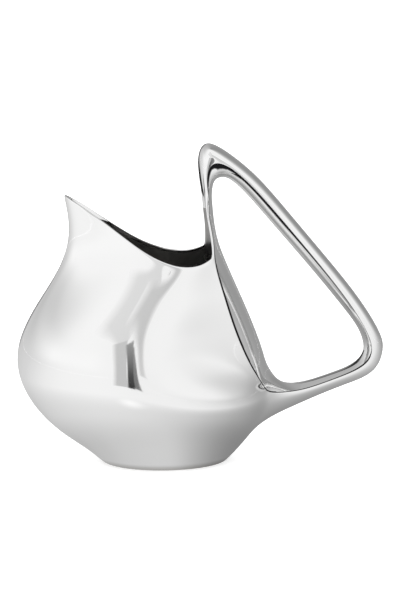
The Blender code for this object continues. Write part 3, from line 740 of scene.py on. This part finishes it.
def make_plate_finish():
    """Satin metal with rubbed patches and fine turned lines, which are centred on the object's origin."""
    material = principled("satin_base", PLATE, 0.3)
    nodes, links = material.node_tree.nodes, material.node_tree.links
    shader = nodes["Principled BSDF"]
    worn = noise(nodes, links, PLATE_WEAR_SCALE)
    links.new(ranged(nodes, links, worn, 0.3, 0.7, *PLATE_ROUGHNESS), shader.inputs["Roughness"])
    links.new(mixed(nodes, links, ranged(nodes, links, worn, 0.35, 0.7, 0, 1), PLATE, PLATE_DARK),
              shader.inputs["Base Color"])
    lines = nodes.new("ShaderNodeTexWave")
    lines.wave_type, lines.rings_direction = "RINGS", "Z"
    lines.inputs["Scale"].default_value = TURNED_LINE_SCALE
    lines.inputs["Distortion"].default_value = TURNED_LINE_WANDER
    place = nodes.new("ShaderNodeTexCoord")
    links.new(place.outputs["Object"], lines.inputs["Vector"])
    scratched(nodes, links, shader, lines.outputs["Fac"], 0.08)
    return material


def aim_camera(outer_middle):
    camera = bpy.data.objects.new("camera", bpy.data.cameras.new("camera"))
    bpy.context.scene.collection.objects.link(camera)
    bpy.context.scene.camera = camera
    camera.data.lens = CAMERA_LENS
    camera.data.clip_start, camera.data.clip_end = 0.05, 20
    a, e = CAMERA_AZIMUTH, CAMERA_ELEVATION
    back = Vector((sin(a) * cos(e), -cos(a) * cos(e), sin(e)))
    x, y, z = CAMERA_TARGET
    camera.location = Vector((x - outer_middle, y, z)) * MM + back * CAMERA_DISTANCE
    camera.rotation_mode = "QUATERNION"
    camera.rotation_quaternion = back.to_track_quat("Z", "Y")


def make_floor():
    bpy.ops.mesh.primitive_circle_add(vertices=96, radius=FLOOR_RADIUS, fill_type="NGON")
    floor = bpy.context.active_object
    floor.name = "floor"
    material = bpy.data.materials.new("pale_floor")
    material.use_nodes = True
    shader = material.node_tree.nodes["Principled BSDF"]
    shader.inputs["Base Color"].default_value = (0.93, 0.93, 0.93, 1)
    shader.inputs["Roughness"].default_value = 0.8
    shader.inputs["Emission Color"].default_value = (1, 1, 1, 1)
    shader.inputs["Emission Strength"].default_value = FLOOR_GLOW
    floor.data.materials.append(material)


def fill_ramp(ramp, shades):
    """Sets a colour ramp's stops from (position, brightness) pairs."""
    stops = ramp.color_ramp.elements
    ramp.color_ramp.interpolation = "B_SPLINE" if len(shades) > 4 else "LINEAR"
    while len(stops) < len(shades):
        stops.new(0.5)
    for stop, (at, shade) in zip(stops, shades):
        stop.position = at
    for stop, (at, shade) in zip(stops, shades):
        stop.color = (shade, shade, shade, 1)


def around(nodes, links, vector):
    """The azimuth of a vector as a share of a turn: 0 and 1 point at +Y, 0.5 at -Y, 0.75 at +X."""
    split = nodes.new("ShaderNodeSeparateXYZ")
    turned = nodes.new("ShaderNodeMath")
    turned.operation = "MULTIPLY"
    turned.inputs[1].default_value = -1
    angle = nodes.new("ShaderNodeMath")
    angle.operation = "ARCTAN2"
    share = nodes.new("ShaderNodeMath")
    share.operation = "MULTIPLY_ADD"
    share.inputs[1].default_value, share.inputs[2].default_value = 1 / (2 * pi), 0.5
    links.new(vector, split.inputs[0])
    links.new(split.outputs["Y"], turned.inputs[0])
    links.new(split.outputs["X"], angle.inputs[0])
    links.new(turned.outputs[0], angle.inputs[1])
    links.new(angle.outputs[0], share.inputs[0])
    return share.outputs[0]


def turned_shades(table):
    return [((azimuth + 180) / 360, shade) for azimuth, shade in table]


def shaded_around(nodes, links, turn, shades):
    ramp = nodes.new("ShaderNodeValToRGB")
    fill_ramp(ramp, turned_shades(shades))
    links.new(turn, ramp.inputs[0])
    return ramp.outputs["Color"]


def zoned(nodes, links, turn, place, zones):
    """The low shades all round, with each zone's own laid over them as its place is reached."""
    color = shaded_around(nodes, links, turn, LOW_SHADES)
    for shades, start, full in zones:
        (low, to_low), (high, to_high) = sorted([(start, 0), (full, 1)])
        share = ranged(nodes, links, place, low, high, to_low, to_high)
        color = mixed(nodes, links, share, color, shaded_around(nodes, links, turn, shades))
    return color


def glowing(name, shades, fade):
    """A ribbon's material: its brightness along it, and how it fades out across it, both from 0 to 1."""
    material = bpy.data.materials.new(name)
    material.use_nodes = True
    nodes, links = material.node_tree.nodes, material.node_tree.links
    nodes.clear()
    place = nodes.new("ShaderNodeUVMap")
    split = nodes.new("ShaderNodeSeparateXYZ")
    along, across = nodes.new("ShaderNodeValToRGB"), nodes.new("ShaderNodeValToRGB")
    fill_ramp(along, shades)
    fill_ramp(across, fade)
    glow = nodes.new("ShaderNodeEmission")
    clear = nodes.new("ShaderNodeBsdfTransparent")
    mix = nodes.new("ShaderNodeMixShader")
    out = nodes.new("ShaderNodeOutputMaterial")
    links.new(place.outputs[0], split.inputs[0])
    links.new(split.outputs["X"], across.inputs[0])
    links.new(split.outputs["Y"], along.inputs[0])
    links.new(along.outputs["Color"], glow.inputs["Color"])
    links.new(across.outputs["Color"], mix.inputs[0])
    links.new(clear.outputs[0], mix.inputs[1])
    links.new(glow.outputs[0], mix.inputs[2])
    links.new(mix.outputs[0], out.inputs["Surface"])
    return material


def only_reflected(thing):
    """A card shows in the silver, and neither lights nor shades anything else."""
    thing.visible_camera = thing.visible_diffuse = thing.visible_shadow = False


def ribbon(name, path, distance, shades, fade=((0, 1), (1, 1))):
    """A band of card at one distance, through places of (azimuth, elevation, half its width) in degrees."""
    def at(azimuth, elevation):
        a, e = radians(azimuth), radians(elevation)
        return JUG_MIDDLE + Vector((sin(a) * cos(e), -cos(a) * cos(e), sin(e))) * (distance / cos(e))

    steps = 8
    rows = [(i / steps + leg) for leg in range(len(path) - 1) for i in range(steps)] + [len(path) - 1]
    table = [(i, *row) for i, row in enumerate(path)]
    middle = [spline(table, row) for row in rows]
    points, uvs = [], []
    for i, (azimuth, elevation, half_width) in enumerate(middle):
        ahead, behind = middle[min(i + 1, len(middle) - 1)], middle[max(i - 1, 0)]
        squeeze = cos(radians(elevation))
        along = unit(np.array([(ahead[0] - behind[0]) * squeeze, ahead[1] - behind[1]]))
        for side in (-1, 1):
            points.append(at(azimuth + side * along[1] * half_width / squeeze,
                             elevation - side * along[0] * half_width))
            uvs.append(((side + 1) / 2, i / (len(middle) - 1)))
    faces = [(2 * i, 2 * i + 1, 2 * i + 3, 2 * i + 2) for i in range(len(middle) - 1)]
    mesh = bpy.data.meshes.new(name)
    mesh.from_pydata(points, [], faces)
    layer = mesh.uv_layers.new(name="UVMap")
    for loop in mesh.loops:
        layer.data[loop.index].uv = uvs[loop.vertex_index]
    thing = bpy.data.objects.new(name, mesh)
    bpy.context.scene.collection.objects.link(thing)
    mesh.materials.append(glowing(name, shades, fade))
    only_reflected(thing)


def make_ribbons():
    soft = ((0, 0), (0.35, 1), (0.65, 1), (1, 0))
    ribbon("hood", [(-9.5, -12, 7.5), (-8, 12, 7.5), (-10, 36, 7.5)], 0.25, [(0, 0.58), (1, 0.60)],
           ((0, 0.1), (0.28, 1), (1, 1)))
    ribbon("slit", [(1.3, -10.3, 3.6), (4.2, 12.5, 4), (2.5, 34, 4.6)], 0.24,
           [(0, 0.035), (0.3, 0.08), (1, 0.32)], ((0, 0.2), (0.2, 1), (1, 1)))
    ribbon("slit_side", [(7.0, -8.5, 3.2), (9.9, 12, 2.4), (8.2, 30, 1.2)], 0.245, [(0, 0.18), (1, 0.3)])
    ribbon("leaf", [(0, 36, 8), (-6, 43, 10), (-13, 50, 13), (-24, 55, 14), (-38, 58, 13)], 0.6,
           [(0, 0.74), (0.7, 0.77), (1, 0.95)], ((0, 0), (0.2, 1), (0.65, 1), (1, 0)))
    ribbon("leaf_side", [(18, 4, 4), (19, 14, 4.5), (19, 26, 5), (15, 37, 6), (4, 46, 6), (-8, 50, 5)], 0.26,
           [(0, 0.66), (0.5, 0.60), (0.8, 0.62), (1, 0.9)], soft)
    ribbon("behind", [(-174, -7, 21), (-174, 11, 21), (-174, 30, 19)], 0.3, [(0, 0.02), (1, 0.02)], soft)


def make_table_glow():
    """What the silver sees of the table: close by, to the sides, and far off, where it matches the room."""
    bpy.ops.mesh.primitive_circle_add(vertices=96, radius=TABLE_RADIUS, fill_type="NGON",
                                      location=(JUG_MIDDLE.x, 0, TABLE_LIFT))
    table = bpy.context.active_object
    table.name = "table_glow"
    material = bpy.data.materials.new("table_glow")
    material.use_nodes = True
    nodes, links = material.node_tree.nodes, material.node_tree.links
    nodes.clear()
    place = nodes.new("ShaderNodeTexCoord")
    turn = around(nodes, links, place.outputs["Object"])
    away = nodes.new("ShaderNodeVectorMath")
    away.operation = "LENGTH"
    links.new(place.outputs["Object"], away.inputs[0])
    color = zoned(nodes, links, turn, away.outputs["Value"], TABLE_ZONES)
    aside = nodes.new("ShaderNodeVectorMath")
    aside.operation = "DISTANCE"
    aside.inputs[1].default_value = POOL_PLACE
    links.new(place.outputs["Object"], aside.inputs[0])
    pool = ranged(nodes, links, aside.outputs["Value"], 0, POOL_RADIUS, POOL_SHARE, 0)
    color = mixed(nodes, links, pool, color, (POOL_SHADE, POOL_SHADE, POOL_SHADE, 1))
    glow = nodes.new("ShaderNodeEmission")
    out = nodes.new("ShaderNodeOutputMaterial")
    links.new(color, glow.inputs["Color"])
    links.new(glow.outputs[0], out.inputs["Surface"])
    table.data.materials.append(material)
    only_reflected(table)


def make_world():
    """White to look at. The silver sees it bright at the front left, and darker at the right and behind."""
    world = bpy.data.worlds.new("studio")
    bpy.context.scene.world = world
    world.use_nodes = True
    nodes, links = world.node_tree.nodes, world.node_tree.links
    seen = nodes["Background"]
    seen.inputs["Color"].default_value = (1, 1, 1, 1)
    mirrored = nodes.new("ShaderNodeBackground")
    place = nodes.new("ShaderNodeTexCoord")
    split = nodes.new("ShaderNodeSeparateXYZ")
    path = nodes.new("ShaderNodeLightPath")
    mix = nodes.new("ShaderNodeMixShader")
    turn = around(nodes, links, place.outputs["Generated"])
    links.new(place.outputs["Generated"], split.inputs[0])
    color = zoned(nodes, links, turn, split.outputs["Z"], ROOM_ZONES)
    links.new(color, mirrored.inputs["Color"])
    links.new(path.outputs["Is Glossy Ray"], mix.inputs[0])
    links.new(seen.outputs[0], mix.inputs[1])
    links.new(mirrored.outputs[0], mix.inputs[2])
    links.new(mix.outputs[0], nodes["World Output"].inputs["Surface"])


def make_lamp():
    lamp = bpy.data.lights.new("overhead", "AREA")
    lamp.shape, lamp.size, lamp.energy = "DISK", LAMP_SIZE, LAMP_POWER
    overhead = bpy.data.objects.new("overhead", lamp)
    overhead.location = LAMP_PLACE
    overhead.rotation_euler = (-overhead.location).to_track_quat("-Z", "Y").to_euler()
    overhead.visible_glossy = False
    bpy.context.scene.collection.objects.link(overhead)


def main():
    bpy.context.scene.view_settings.view_transform = "Standard"
    aim_camera(middle_of_length(outer_grid()))
    make_jug(make_silver(), make_lining())
    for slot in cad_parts["base_plate"].material_slots:
        slot.material = make_plate_finish()
    make_floor()
    make_ribbons()
    make_table_glow()
    make_world()
    make_lamp()


main()
